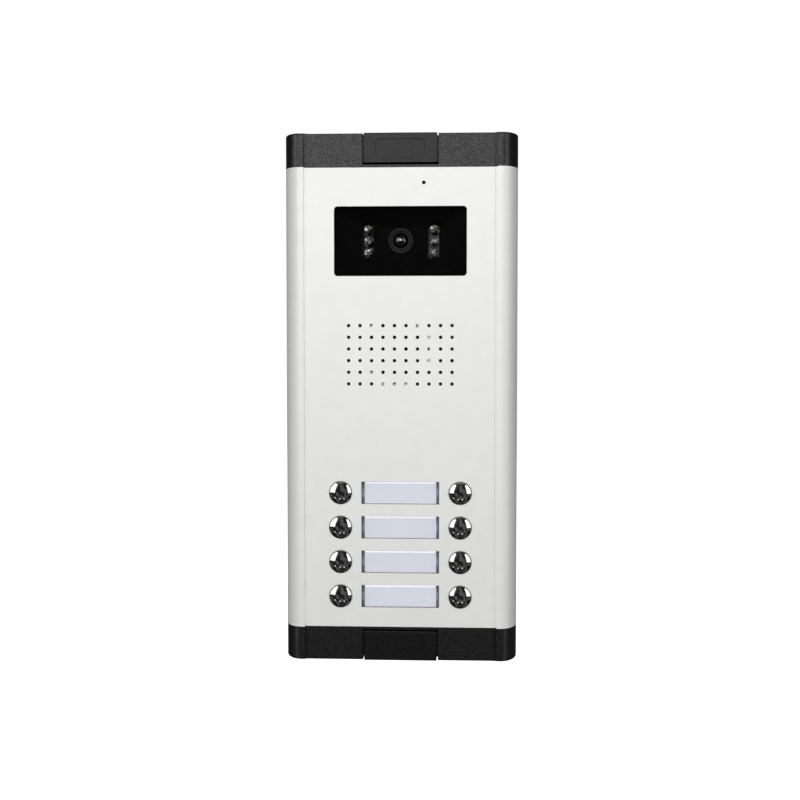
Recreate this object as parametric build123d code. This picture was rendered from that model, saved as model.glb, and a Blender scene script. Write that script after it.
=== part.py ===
"""Door intercom panel for a block of flats: a surface-mounted call station.

Frame: the wall is the plane Y = 0 and the panel stands out of it towards -Y, which is the
front. X runs to the right as a visitor sees it, Z is up, and the origin is the middle of the
wall bracket's back face. All lengths are millimetres.
"""

import os

from build123d import *

# ---------------------------------------------------------------- driving dimensions

# Outside of the case
HALF_WIDTH = 66.7
HALF_HEIGHT = 150.0
FRONT = -48.0
CAP_JOINT = 130.6
RAIL_END = 131.0
CAP_MIDDLE_END = 149.6
PLATE_THICK = 2.0
PLATE_BACK = FRONT + PLATE_THICK

# Side rails: flat lip, then a quarter ellipse round to a straight side
CURVE_X = 57.2
CURVE_WIDTH = HALF_WIDTH - CURVE_X
CURVE_DEPTH = 17.0
CURVE_Y = FRONT + CURVE_DEPTH
RAIL_WALL = 2.0
GROOVE_IN = 53.55
GROOVE_OUT = 54.75
GROOVE_DEEP = 0.8
GROOVE_FLOOR = FRONT + GROOVE_DEEP
CAP_GROOVE_DEEP = 1.4
TONGUE_END = 56.8
SHELF_IN = 52.5
SHELF_BACK = -44.0
REAR_FLANGE_IN = 58.0
REAR_FLANGE_FRONT = -7.0
REAR_FLANGE_BACK = -5.0
SCREW_PORTS = [(62.4, -9.3), (61.7, -37.2)]
PORT_OUTER = 2.6
PORT_BORE = 1.5

# End caps
CAP_WALL = 2.2
CAP_FLANGE = 2.5
CAP_END_WALL = 2.4
CAP_EDGE_ROUND = 0.8
PILLAR_RADIUS = 4.2
PILLAR_SEAT = CAP_JOINT + 5.4
COUNTERBORE = 3.1
POCKET_HALF = 21.5
POCKET_INNER = 132.2
POCKET_FLOOR = -36.0
POCKET_WALL = 2.5
GUIDE_DEEP = 0.8
LOCK_Z = 141.0

# Sliding screw covers in the caps
COVER_HALF = 20.7
COVER_INNER = 133.0
COVER_OUTER = HALF_HEIGHT
COVER_THICK = 3.0
COVER_LIP = 2.2
PAD_HALF = 13.7
PAD_LOW = 136.2
PAD_HIGH = 146.4
PAD_DEEP = 0.5
PAD_ROUND = 1.2
COVER_TONGUE_OUT = 22.0
COVER_TONGUE_THICK = 1.0

# Camera
WINDOW_WIDTH = 74.9
WINDOW_HEIGHT = 39.05
WINDOW_Z = 89.2
WINDOW_ROUND = 1.9
WINDOW_BEVEL = 0.6
LENS_Z = 89.8
LENS_HEAD = 7.0
LENS_GLASS_RADIUS = 4.25
LENS_BALL_RADIUS = 4.6
LENS_SEAT = -38.8
LED_X = 18.7
LED_PITCH = 6.75
LED_RADIUS = 2.5
LED_RIM_RADIUS = 2.9
LED_TIP = -43.4
LED_BASE = -34.6
LED_LEAD_X = 1.27
LED_SLOT = (6.4, 19.6)
SHROUD_SIZE = (78.0, 42.0)
SHROUD_FLANGE = (88.0, 50.0)
SHROUD_FRONT = -44.5
SHROUD_BACK = -39.5
CAMERA_BOARD = (-30.0, -28.4)
CAMERA_BOARD_SIZE = (72.0, 38.0)
CAMERA_POSTS = [(side * 33.0, WINDOW_Z + up * 15.5) for side in (-1, 1) for up in (-1, 1)]
SHROUD_SCREWS = [(side * 41.5, WINDOW_Z + up * 15.0) for side in (-1, 1) for up in (-1, 1)]

# Microphone
MIC_X = 13.3
MIC_Z = 122.0
MIC_HOLE_RADIUS = 1.05
MIC_RADIUS = 3.0
MIC_FRONT = -44.6
MIC_BOOT_RADIUS = 4.6

# Loudspeaker and its holes
HOLE_COLUMNS = 10
HOLE_ROWS = 6
HOLE_PITCH_X = 6.52
HOLE_PITCH_Z = 6.61
HOLE_TOP_Z = 41.6
HOLE_RADIUS = 1.0
SPEAKER_X = -2.0
SPEAKER_Z = 27.0
SPEAKER_RADIUS = 22.0
SPEAKER_FRONT = -45.2
SPEAKER_OPENING = 20.6
MAGNET_RADIUS = 14.5
MAGNET = (-35.0, -28.5)

# Call buttons and name windows
BUTTON_X = 34.1
ROW_TOP_Z = -53.6
ROW_PITCH = 19.8
ROWS = 4
BEZEL_RADIUS = 6.65
BEZEL_BORE = 6.25
DOME_RADIUS = 6.1
DOME_RISE = 2.0
SHOULDER = FRONT - 0.5
KEEPER = (-45.9, -45.2)
KEEPER_RADIUS = 7.3
STEM_RADIUS = 2.2
STEM_TIP_RADIUS = 1.6
STEM_STEP = -39.5
STEM_END = -37.0
SWITCH_HALF = 3.0
SWITCH_TALL = 3.8
SWITCH_MOUTH_RADIUS = 1.9
NAME_WIDTH = 44.3
NAME_HEIGHT = 12.8
CARD_MARGIN = 1.7
NAME_GAP = 0.2
NAME_BEVEL = 0.7
NAME_FLANGE_BACK = -45.2
CARD_BACK = -44.9
LIGHT_GUIDE_BACK = -42.0
BACKLIGHT_X = 12.0

# Inside
CHASSIS_BACK = SHELF_BACK + 2.5
CHASSIS_HALF_WIDTH = 57.0
CHASSIS_HALF_HEIGHT = 126.0
CHASSIS_SCREW_X = 54.9
CHASSIS_SCREW_HEIGHTS = (-116.0, -20.0, 116.0)
CHASSIS_RIB_HEIGHTS = (-6.0, 62.0)
POST_RADIUS = 3.2
SELF_TAP_RADIUS = 1.2
KEY_BOARD = (-34.0, -32.4)
KEY_BOARD_SIZE = (90.0, 81.0)
KEY_BOARD_Z = -83.3
KEY_POSTS = [(side * 41.5, KEY_BOARD_Z + up * 30.0) for side in (-1, 1) for up in (-1, 1)]
MAIN_BOARD = (-22.0, -20.4)
MAIN_BACK = MAIN_BOARD[1]
MAIN_BOARD_SIZE = (98.0, 108.0)
MAIN_BOARD_Z = 12.0
MAIN_POSTS = [(side * 45.0, z) for side in (-1, 1) for z in (-37.0, 58.0)]

# On the main board: places are x, z, then a size
RELAY_PLACE = (30.0, 38.0)
RELAY_SIZE = (19.0, 15.5, 12.0)
CAPACITORS = [(-34.0, 46.0, 4.0, 10.5), (-24.0, 46.0, 4.0, 10.5), (-36.0, -22.0, 3.15, 9.0)]
CHIPS = [(0.0, 40.0, 14.0, 14.0), (-20.0, 24.0, 10.0, 6.0), (24.0, 14.0, 12.0, 7.5)]
CHIP_TALL = 1.6
HEADERS = [(-38.0, 8.0, 2), (36.0, -8.0, 4), (-6.0, 60.0, 6)]
HEADER_PITCH = 2.5
TERMINAL_Z = -32.0
TERMINAL_PITCH = 5.08
TERMINALS = 8
TERMINAL_TALL = 11.0

# Back
GASKET_THICK = 0.5
REAR_COVER = (REAR_FLANGE_BACK + GASKET_THICK, -2.7)
REAR_HALF_WIDTH = 64.3
REAR_HALF_HEIGHT = 130.2
REAR_SCREW_X = 61.3
REAR_SCREW_HEIGHTS = (-112.0, 0.0, 112.0)
REAR_RIB_X = 52.0
CABLE_Z = -5.0
CABLE_HOLE = 12.0
BRACKET_THICK = 1.5
BRACKET_HALF_WIDTH = 45.0
BRACKET_HALF_HEIGHT = 146.0
BRACKET_OPENING = (44.0, 50.0)
BRACKET_NUT_HOLE = 2.8
LOCK_SCREW_RADIUS = 2.25
WALL_HOLE_X = 30.0
WALL_HOLE_Z = 90.0
WALL_HOLE_RADIUS = 2.25

FIT = 0.05
EDGE_BREAK = 0.15
ROW_HEIGHTS = [ROW_TOP_Z - ROW_PITCH * row for row in range(ROWS)]
BUTTON_PLACES = [(side * BUTTON_X, z) for side in (-1, 1) for z in ROW_HEIGHTS]


# ---------------------------------------------------------------- shape helpers


def slab(x_span, y_span, z_span):
    """A box from its low and high values along each axis."""
    sizes = [high - low for low, high in (x_span, y_span, z_span)]
    middles = [(high + low) / 2 for low, high in (x_span, y_span, z_span)]
    return Pos(*middles) * Box(*sizes)


def plate(width, height, y_span, x=0.0, z=0.0, radius=0.0):
    """A flat piece facing the front, width along X and height along Z."""
    low, high = y_span
    outline = RectangleRounded(width, height, radius) if radius else Rectangle(width, height)
    return extrude(Plane.XZ.offset(-high) * Pos(x, z) * outline, high - low)


def frame_ring(outer, inner, y_span, x=0.0, z=0.0, radius=0.0):
    """A flat rectangular ring facing the front; outer and inner are (width, height)."""
    low, high = y_span
    whole = plate(*outer, y_span, x, z, radius)
    return whole - plate(*inner, (low - 1, high + 1), x, z, radius)


def rod_y(radius, y_span, x=0.0, z=0.0):
    """A round piece along Y."""
    low, high = y_span
    return Pos(x, (low + high) / 2, z) * Rot(90, 0, 0) * Cylinder(radius, high - low)


def rod_z(radius, z_span, x=0.0, y=0.0):
    """A round piece along Z."""
    low, high = z_span
    return Pos(x, y, (low + high) / 2) * Cylinder(radius, high - low)


def tube_y(outer, inner, y_span, x=0.0, z=0.0):
    """A round tube along Y."""
    low, high = y_span
    return rod_y(outer, y_span, x, z) - rod_y(inner, (low - 1, high + 1), x, z)


def turned(points, x=0.0, z=0.0):
    """A solid of revolution about a line along Y, from (radius, y) points."""
    section = make_face(Polyline(*[(r, y, 0) for r, y in points], close=True))
    return Pos(x, 0, z) * revolve(section, Axis.Y)


def both_sides(shape):
    """The shape and its mirror image across the middle of the panel."""
    return [shape, mirror(shape, about=Plane.YZ)]


def screw_y(x, z, seat, tip, radius=1.45, head_radius=2.8, head_height=1.6, out=1):
    """A pan-head screw along Y: seat is under the head, and out is the head's side."""
    shank = rod_y(radius, sorted((seat, tip)), x, z)
    head = rod_y(head_radius, sorted((seat, seat + out * head_height)), x, z)
    head = chamfer(head.edges().sort_by(Axis.Y)[-1 if out > 0 else 0], 0.4)
    slot_y = seat + out * head_height
    slot_span = (slot_y - 0.7, slot_y + 0.7)
    slot = slab((x - head_radius, x + head_radius), slot_span, (z - 0.4, z + 0.4))
    cross = slab((x - 0.4, x + 0.4), slot_span, (z - head_radius, z + head_radius))
    drive = rod_y(head_radius * 0.62, (slot_y - 0.8, slot_y + 0.8), x, z)
    return shank + head - ((slot + cross) & drive)


# ---------------------------------------------------------------- case


def wing_face(inset=0.0):
    """Right half of the case's cross-section, seen along Z, drawn in by inset."""
    curve = EllipticalCenterArc(
        (CURVE_X, CURVE_Y), CURVE_WIDTH - inset, CURVE_DEPTH - inset, start_angle=-90, arc_size=90
    )
    front = Line((0, FRONT + inset), curve @ 0)
    rest = Polyline(curve @ 1, (HALF_WIDTH - inset, 0), (0, 0), (0, FRONT + inset))
    return make_face(front + curve + rest)


def case_solid(z_span, inset=0.0):
    """The whole cross-section of the case, between two heights."""
    low, high = z_span
    half = extrude(Pos(0, 0, low) * wing_face(inset), high - low)
    return half + mirror(half, about=Plane.YZ)


def groove_cutters(z_span, floor):
    """The two narrow grooves that run the full height of the front."""
    return both_sides(slab((GROOVE_IN, GROOVE_OUT), (FRONT - 1, floor), z_span))


def make_rail():
    """Right-hand side rail, an aluminium extrusion with a slot, a shelf and screw ports."""
    outer = EllipticalCenterArc(
        (CURVE_X, CURVE_Y), CURVE_WIDTH, CURVE_DEPTH, start_angle=-90, arc_size=90
    )
    inner = EllipticalCenterArc(
        (CURVE_X, CURVE_Y),
        CURVE_WIDTH - RAIL_WALL,
        CURVE_Y - SHELF_BACK,
        start_angle=-90,
        arc_size=90,
    )
    inside = HALF_WIDTH - RAIL_WALL
    side = Polyline(
        outer @ 1,
        (HALF_WIDTH, 0),
        (inside, 0),
        (inside, REAR_FLANGE_BACK),
        (REAR_FLANGE_IN, REAR_FLANGE_BACK),
        (REAR_FLANGE_IN, REAR_FLANGE_FRONT),
        (inside, REAR_FLANGE_FRONT),
        inner @ 1,
    )
    slot_end = TONGUE_END + 0.2
    hook = Polyline(
        inner @ 0,
        (SHELF_IN, SHELF_BACK),
        (SHELF_IN, PLATE_BACK),
        (slot_end, PLATE_BACK),
        (slot_end, GROOVE_FLOOR),
        (GROOVE_OUT, GROOVE_FLOOR),
        (GROOVE_OUT, FRONT),
        outer @ 0,
    )
    rail = extrude(Pos(0, 0, -RAIL_END) * make_face(outer + side + inner + hook), 2 * RAIL_END)
    ends = (-RAIL_END, RAIL_END)
    lip_edge = rail.edges().filter_by(Axis.Z).sort_by_distance((GROOVE_OUT, FRONT, 0))[0]
    rail = fillet(lip_edge, EDGE_BREAK)
    for x, y in SCREW_PORTS:
        rail += rod_z(PORT_OUTER, ends, x, y) & case_solid(ends)
        rail -= rod_z(PORT_BORE, ends, x, y)
    for z in REAR_SCREW_HEIGHTS:
        rail -= rod_y(1.5, (REAR_FLANGE_FRONT - 0.2, REAR_FLANGE_BACK), REAR_SCREW_X, z)
    for z in CHASSIS_SCREW_HEIGHTS:
        rail -= rod_y(1.5, (PLATE_BACK, SHELF_BACK), CHASSIS_SCREW_X, z)
    return rail


def break_front_edges(solid, size=EDGE_BREAK):
    """Chamfers every edge in the front plane, save where the front runs smoothly into a curve."""
    edges = solid.edges().filter_by_position(Axis.Y, FRONT - 0.001, FRONT + 0.001)
    sharp = [edge for edge in edges if abs(abs(edge.center().X) - CURVE_X) > 0.01]
    return chamfer(sharp, size)


def make_front_plate():
    """Aluminium front plate, with thin side tongues that slide into the rails' slots."""
    ends = (-CAP_JOINT, CAP_JOINT)
    plate_solid = slab((-GROOVE_IN, GROOVE_IN), (FRONT, PLATE_BACK), ends)
    plate_solid += slab((-TONGUE_END, TONGUE_END), (GROOVE_FLOOR, PLATE_BACK), ends)
    through = (FRONT - 1, PLATE_BACK + 1)
    plate_solid -= plate(
        WINDOW_WIDTH + 2 * FIT, WINDOW_HEIGHT + 2 * FIT, through, 0, WINDOW_Z, WINDOW_ROUND + FIT
    )
    for z in ROW_HEIGHTS:
        plate_solid -= plate(NAME_WIDTH, NAME_HEIGHT, through, 0, z)
    for x, z in BUTTON_PLACES:
        plate_solid -= rod_y(BEZEL_RADIUS + FIT, through, x, z)
    plate_solid = break_front_edges(plate_solid)
    # The sound holes are drilled last, so their edges stay sharp
    plate_solid -= rod_y(MIC_HOLE_RADIUS, through, MIC_X, MIC_Z)
    first_x = -HOLE_PITCH_X * (HOLE_COLUMNS - 1) / 2
    columns = [first_x + HOLE_PITCH_X * column for column in range(HOLE_COLUMNS)]
    rows = [HOLE_TOP_Z - HOLE_PITCH_Z * row for row in range(HOLE_ROWS)]
    holes = [rod_y(HOLE_RADIUS, through, x, z) for x in columns for z in rows]
    return plate_solid - holes


def make_top_cap():
    """Moulded end cap: a hollow shell open to the wall, with a pocket for the screw cover."""
    ends = (CAP_JOINT, HALF_HEIGHT)
    outer = case_solid(ends)
    end_edges = outer.edges().group_by(Axis.Z)[-1].filter_by(lambda edge: edge.center().Y < -1)
    outer = fillet(end_edges, CAP_EDGE_ROUND)
    cavity = case_solid((CAP_JOINT + CAP_FLANGE, HALF_HEIGHT - CAP_END_WALL), CAP_WALL)
    block_half = POCKET_HALF + POCKET_WALL
    cavity -= slab((-block_half, block_half), (FRONT, POCKET_FLOOR + POCKET_WALL), ends)
    cavity -= rod_y(4.5, (POCKET_FLOOR, -6.0), 0, LOCK_Z)
    pillars = [(side * x, y) for side in (-1, 1) for x, y in SCREW_PORTS]
    for x, y in pillars:
        cavity -= rod_z(PILLAR_RADIUS, ends, x, y)
    cap = outer - cavity
    for x, y in pillars:
        cap -= rod_z(1.7, ends, x, y)
        cap -= rod_z(COUNTERBORE, (PILLAR_SEAT, HALF_HEIGHT + 1), x, y)
    # Pocket, open to the front and to the outer end, with a guide slot down each side
    pocket_z = (POCKET_INNER, HALF_HEIGHT + 1)
    cap -= slab((-POCKET_HALF, POCKET_HALF), (FRONT - 1, POCKET_FLOOR), pocket_z)
    guide = POCKET_HALF + GUIDE_DEEP
    back_of_cover = FRONT + COVER_THICK
    guide_y = (back_of_cover - COVER_TONGUE_THICK - 0.3, back_of_cover + 0.3)
    cap -= slab((-guide, guide), guide_y, pocket_z)
    cap -= rod_y(LOCK_SCREW_RADIUS, (POCKET_FLOOR - 1, 0), 0, LOCK_Z)
    # Room for the wall bracket behind the inner flange
    bracket_room = BRACKET_HALF_WIDTH + 2
    cap -= slab((-bracket_room, bracket_room), (-6.2, 1), (CAP_JOINT - 1, CAP_JOINT + CAP_FLANGE + 1))
    # Ledge that backs the end of the rear cover
    ledge_x = (0.4 - REAR_FLANGE_IN, REAR_FLANGE_IN - 0.4)
    cap += slab(ledge_x, (REAR_FLANGE_FRONT, REAR_FLANGE_BACK), (CAP_JOINT - 3.4, CAP_JOINT))
    cap += slab(ledge_x, (REAR_FLANGE_FRONT - 1.2, REAR_FLANGE_FRONT), (CAP_JOINT - 1.6, CAP_JOINT + 1))
    # The rails run on a little past the front plate, and the cap's middle ends a little short
    rail_end = slab((SHELF_IN, HALF_WIDTH + 1), (FRONT - 1, 1), (CAP_JOINT - 1, RAIL_END))
    for end in both_sides(rail_end):
        cap -= end
    cap -= slab((-GROOVE_IN, GROOVE_IN), (FRONT - 1, FRONT + 3), (CAP_MIDDLE_END, HALF_HEIGHT + 1))
    for cutter in groove_cutters((CAP_JOINT - 1, HALF_HEIGHT + 1), FRONT + CAP_GROOVE_DEEP):
        cap -= cutter
    return break_front_edges(cap)


def make_top_cover():
    """Sliding cover over the lock screw: a plate with an end lip, side tongues and a finger pad."""
    back = FRONT + COVER_THICK
    cover = slab((-COVER_HALF, COVER_HALF), (FRONT, back), (COVER_INNER, COVER_OUTER))
    cover += slab(
        (-COVER_HALF, COVER_HALF), (FRONT, POCKET_FLOOR - 0.4), (COVER_OUTER - COVER_LIP, COVER_OUTER)
    )
    cover = fillet(cover.edges().filter_by(Axis.X).group_by(Axis.Y)[0], 0.5)
    tongue_y = (back - COVER_TONGUE_THICK, back)
    cover += slab((-COVER_TONGUE_OUT, COVER_TONGUE_OUT), tongue_y, (COVER_INNER + 1, HALF_HEIGHT - 2))
    pad_z = (PAD_LOW + PAD_HIGH) / 2
    pad_y = (FRONT - 1, FRONT + PAD_DEEP)
    cover -= plate(2 * PAD_HALF, PAD_HIGH - PAD_LOW, pad_y, 0, pad_z, PAD_ROUND)
    return break_front_edges(cover)


# ---------------------------------------------------------------- camera


def make_camera_window():
    """Smoked acrylic window with a flange behind the front plate."""
    front = plate(WINDOW_WIDTH, WINDOW_HEIGHT, (FRONT + 0.1, -45.5), 0, WINDOW_Z, WINDOW_ROUND)
    front = chamfer(front.edges().group_by(Axis.Y)[0], WINDOW_BEVEL)
    flange = plate(WINDOW_WIDTH + 5, WINDOW_HEIGHT + 5, (-45.5, -44.5), 0, WINDOW_Z, 3.0)
    return front + flange


def make_window_gasket():
    """Foam frame between the window's flange and the front plate."""
    outer = (WINDOW_WIDTH + 4.6, WINDOW_HEIGHT + 4.6)
    inner = (WINDOW_WIDTH + 0.6, WINDOW_HEIGHT + 0.6)
    return frame_ring(outer, inner, (PLATE_BACK, -45.5), 0, WINDOW_Z, 2.0)


def make_camera_shroud():
    """Black moulding behind the window: hides the board and frames the lens and the lamps."""
    shroud = plate(*SHROUD_SIZE, (SHROUD_FRONT, CHASSIS_BACK), 0, WINDOW_Z, 2.0)
    shroud += plate(*SHROUD_FLANGE, (CHASSIS_BACK, SHROUD_BACK), 0, WINDOW_Z, 3.0)
    for x, z in CAMERA_POSTS:
        shroud += rod_y(2.8, (SHROUD_BACK, CAMERA_BOARD[0]), x, z)
        shroud -= rod_y(SELF_TAP_RADIUS, (-38.0, CAMERA_BOARD[0] + 1), x, z)
    shroud -= rod_y(LENS_HEAD + 0.6, (-46, -38), 0, LENS_Z)
    for side in (-1, 1):
        shroud -= plate(*LED_SLOT, (-46, -38), side * LED_X, LENS_Z, 1.0)
    for x, z in SHROUD_SCREWS:
        shroud -= rod_y(1.4, (-42, -39), x, z)
    return shroud


def make_camera_board():
    """Small circuit board that carries the image sensor and the infrared lamps."""
    board = plate(*CAMERA_BOARD_SIZE, CAMERA_BOARD, 0, WINDOW_Z, 1.0)
    for x, z in CAMERA_POSTS:
        board -= rod_y(SELF_TAP_RADIUS, (-31, -27), x, z)
    return board


def make_lens_holder():
    """Square moulded mount on the board with a round collar for the lens."""
    holder = plate(18.0, 18.0, (-34.0, CAMERA_BOARD[0]), 0, LENS_Z, 1.0)
    holder -= plate(10.0, 10.0, (-32.0, CAMERA_BOARD[0] + 1), 0, LENS_Z)
    holder += rod_y(7.6, (-38.0, -34.0), 0, LENS_Z)
    return holder - rod_y(6.05, (-39, -31), 0, LENS_Z)


def make_lens_barrel():
    """Lens barrel: a wide head with a conical mouth, and a threaded tail in the holder."""
    outline = [
        (3.2, -33.0),
        (6.0, -33.0),
        (6.0, -38.4),
        (LENS_HEAD, -38.4),
        (LENS_HEAD, -43.0),
        (LENS_HEAD - 0.5, -43.5),
        (LENS_HEAD - 1.1, -43.5),
        (LENS_GLASS_RADIUS + FIT, -42.2),
        (LENS_GLASS_RADIUS + FIT, LENS_SEAT),
        (3.2, LENS_SEAT),
    ]
    return turned(outline, 0, LENS_Z)


def make_lens_glass():
    """Front lens element: a steep wide-angle dome seated in the barrel's mouth."""
    disc = rod_y(LENS_GLASS_RADIUS, (LENS_SEAT - LENS_BALL_RADIUS - 1, LENS_SEAT), 0, LENS_Z)
    return disc & (Pos(0, LENS_SEAT, LENS_Z) * Sphere(LENS_BALL_RADIUS))


def make_image_sensor():
    """Image sensor package on the board, under the lens."""
    return plate(7.6, 7.6, (CAMERA_BOARD[0] - 1.1, CAMERA_BOARD[0]), 0, LENS_Z)


def make_infrared_led(x, z):
    """Clear 5 mm lamp: domed body, rim and two leads down to the board."""
    dome_y = LED_TIP + LED_RADIUS
    body = rod_y(LED_RADIUS, (dome_y, LED_BASE), x, z)
    body += Pos(x, dome_y, z) * Sphere(LED_RADIUS)
    body += rod_y(LED_RIM_RADIUS, (LED_BASE - 1.2, LED_BASE), x, z)
    for lead_x in (x - LED_LEAD_X, x + LED_LEAD_X):
        lead_y = (LED_BASE, CAMERA_BOARD[0])
        body += slab((lead_x - 0.25, lead_x + 0.25), lead_y, (z - 0.25, z + 0.25))
    return body


# ---------------------------------------------------------------- sound


def make_microphone():
    """Electret capsule behind its pin-hole."""
    return rod_y(MIC_RADIUS, (MIC_FRONT, MIC_FRONT + 5.0), MIC_X, MIC_Z)


def make_microphone_boot():
    """Rubber boot that seals the capsule to the front plate."""
    boot = rod_y(MIC_BOOT_RADIUS, (PLATE_BACK, -38.4), MIC_X, MIC_Z)
    boot -= rod_y(MIC_RADIUS, (MIC_FRONT, -38), MIC_X, MIC_Z)
    return boot - rod_y(MIC_HOLE_RADIUS + FIT, (PLATE_BACK - 1, -44), MIC_X, MIC_Z)


def make_speaker_gasket():
    """Foam ring between the loudspeaker's rim and the front plate."""
    return tube_y(SPEAKER_RADIUS + 0.4, 20.8, (PLATE_BACK, SPEAKER_FRONT), SPEAKER_X, SPEAKER_Z)


def make_speaker_basket():
    """Pressed steel basket: flat rim and a conical frame down to the magnet."""
    outline = [
        (18.4, SPEAKER_FRONT),
        (SPEAKER_RADIUS, SPEAKER_FRONT),
        (SPEAKER_RADIUS, SHELF_BACK),
        (20.0, SHELF_BACK),
        (16.5, -36.0),
        (11.0, -35.0),
        (6.5, -35.0),
        (6.5, -35.8),
        (10.8, -35.8),
        (15.8, -36.8),
        (18.4, -43.0),
    ]
    return turned(outline, SPEAKER_X, SPEAKER_Z)


def make_speaker_cone():
    """Paper cone with a domed dust cap and a rolled edge."""
    outline = [
        (0.0, -41.6),
        (3.5, -41.2),
        (6.0, -39.6),
        (12.0, -42.2),
        (16.0, -44.0),
        (18.35, -44.0),
        (18.35, -43.5),
        (16.0, -43.5),
        (12.0, -41.6),
        (6.0, -39.0),
        (0.0, -39.0),
    ]
    return turned(outline, SPEAKER_X, SPEAKER_Z)


def make_speaker_magnet():
    """Ferrite ring with its steel back plate."""
    magnet = rod_y(MAGNET_RADIUS, MAGNET, SPEAKER_X, SPEAKER_Z)
    return chamfer(magnet.edges(), 0.5)


# ---------------------------------------------------------------- call buttons and names


def make_button_bezel(x, z):
    """Ring round a call button: a thin rim in front, and a flange that guides the button."""
    outline = [
        (BEZEL_BORE, SHOULDER),
        (BEZEL_RADIUS - 0.15, SHOULDER),
        (BEZEL_RADIUS, FRONT - 0.3),
        (BEZEL_RADIUS, PLATE_BACK),
        (8.4, PLATE_BACK),
        (8.4, SHELF_BACK),
        (7.6, SHELF_BACK),
        (7.6, PLATE_BACK - 0.2),
        (BEZEL_BORE, PLATE_BACK - 0.2),
    ]
    return turned(outline, x, z)


def make_button_cap(x, z):
    """Chromed dome with a skirt, a keeper flange and the stem that works the switch."""
    rise = DOME_RISE
    ball_radius = (DOME_RADIUS**2 + rise**2) / (2 * rise)
    ball = Pos(0, SHOULDER - rise + ball_radius, 0) * Sphere(ball_radius)
    dome = rod_y(DOME_RADIUS, (SHOULDER - 2 * rise, SHOULDER)) & ball
    skirt = rod_y(DOME_RADIUS, (SHOULDER, KEEPER[0]))
    keeper = rod_y(KEEPER_RADIUS, KEEPER)
    stem = rod_y(STEM_RADIUS, (KEEPER[1], STEM_STEP)) + rod_y(STEM_TIP_RADIUS, (STEM_STEP, STEM_END))
    return Pos(x, 0, z) * (dome + skirt + keeper + stem)


def make_switch_body(x, z):
    """Tactile switch on the key board, with a round mouth for the button's stem."""
    front, half = KEY_BOARD[0] - SWITCH_TALL, SWITCH_HALF
    body = slab((x - half, x + half), (front, KEY_BOARD[0]), (z - half, z + half))
    body = chamfer(body.edges().filter_by(Axis.Y), 0.5)
    return body - rod_y(SWITCH_MOUTH_RADIUS, (front - 1, front + 2.0), x, z)


def make_name_window(z):
    """Clear acrylic name window: bevelled front, a clip tab at each end, a flange behind."""
    half = NAME_WIDTH / 2 - CARD_MARGIN
    front = plate(2 * half, NAME_HEIGHT - 2 * NAME_GAP, (FRONT + 0.1, PLATE_BACK), 0, z)
    front = chamfer(front.edges().group_by(Axis.Y)[0], NAME_BEVEL)
    flange = plate(NAME_WIDTH + 3, NAME_HEIGHT + 3, (PLATE_BACK, NAME_FLANGE_BACK), 0, z, 0.5)
    tabs = slab((-half - 1.3, half + 1.3), (FRONT + 0.9, PLATE_BACK), (z - 2.2, z + 2.2))
    return front + flange + tabs


def make_name_card(z):
    """Paper name card between its window and the light guide."""
    thickness = (NAME_FLANGE_BACK, CARD_BACK)
    return plate(NAME_WIDTH - 2 * CARD_MARGIN, NAME_HEIGHT - 0.8, thickness, 0, z)


def make_light_guide(z):
    """Opal plate that spreads the backlight over one name card."""
    return plate(NAME_WIDTH - 1, NAME_HEIGHT - 0.2, (CARD_BACK, LIGHT_GUIDE_BACK), 0, z, 0.4)


def make_backlight_led(x, z):
    """Surface-mount white lamp on the key board, behind a light guide."""
    return plate(3.5, 2.8, (KEY_BOARD[0] - 1.9, KEY_BOARD[0]), x, z)


def make_key_board():
    """Circuit board with the call switches and the backlight."""
    board = plate(*KEY_BOARD_SIZE, KEY_BOARD, 0, KEY_BOARD_Z, 1.5)
    for x, z in KEY_POSTS:
        board -= rod_y(1.4, (-35, -32), x, z)
    return board


# ---------------------------------------------------------------- chassis and main board


def make_chassis():
    """Inner moulding that clamps everything to the front plate and carries the boards."""
    wide, tall = CHASSIS_HALF_WIDTH, CHASSIS_HALF_HEIGHT
    chassis = slab((-wide, wide), (SHELF_BACK, CHASSIS_BACK), (-tall, tall))
    through = (SHELF_BACK - 1, CHASSIS_BACK + 1)
    chassis -= plate(SHROUD_SIZE[0] + 0.4, SHROUD_SIZE[1] + 0.4, through, 0, WINDOW_Z, 2.2)
    chassis -= rod_y(SPEAKER_OPENING, through, SPEAKER_X, SPEAKER_Z)
    chassis -= rod_y(MIC_BOOT_RADIUS + 0.2, through, MIC_X, MIC_Z)
    for z in ROW_HEIGHTS:
        chassis -= plate(NAME_WIDTH - 0.6, NAME_HEIGHT + 0.2, through, 0, z, 0.6)
    for x, z in BUTTON_PLACES:
        chassis -= rod_y(STEM_RADIUS + 0.4, through, x, z)
    for side in (-1, 1):
        for z in CHASSIS_SCREW_HEIGHTS:
            chassis -= rod_y(1.7, through, side * CHASSIS_SCREW_X, z)
    for x, z in SHROUD_SCREWS:
        chassis -= rod_y(1.15, through, x, z)
    for places, board in ((KEY_POSTS, KEY_BOARD), (MAIN_POSTS, MAIN_BOARD)):
        for x, z in places:
            chassis += rod_y(POST_RADIUS, (CHASSIS_BACK, board[0]), x, z)
            chassis -= rod_y(SELF_TAP_RADIUS, (board[0] - 7, board[0] + 1), x, z)
    # Stiffening ribs above and below the loudspeaker
    for z in CHASSIS_RIB_HEIGHTS:
        chassis += slab((-40, 40), (CHASSIS_BACK, CHASSIS_BACK + 5), (z - 0.8, z + 0.8))
    return chassis


def make_main_board():
    """Main circuit board, on four posts of the chassis."""
    board = plate(*MAIN_BOARD_SIZE, MAIN_BOARD, 0, MAIN_BOARD_Z, 1.5)
    for x, z in MAIN_POSTS:
        board -= rod_y(1.7, (-23, -19), x, z)
    return board


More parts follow.
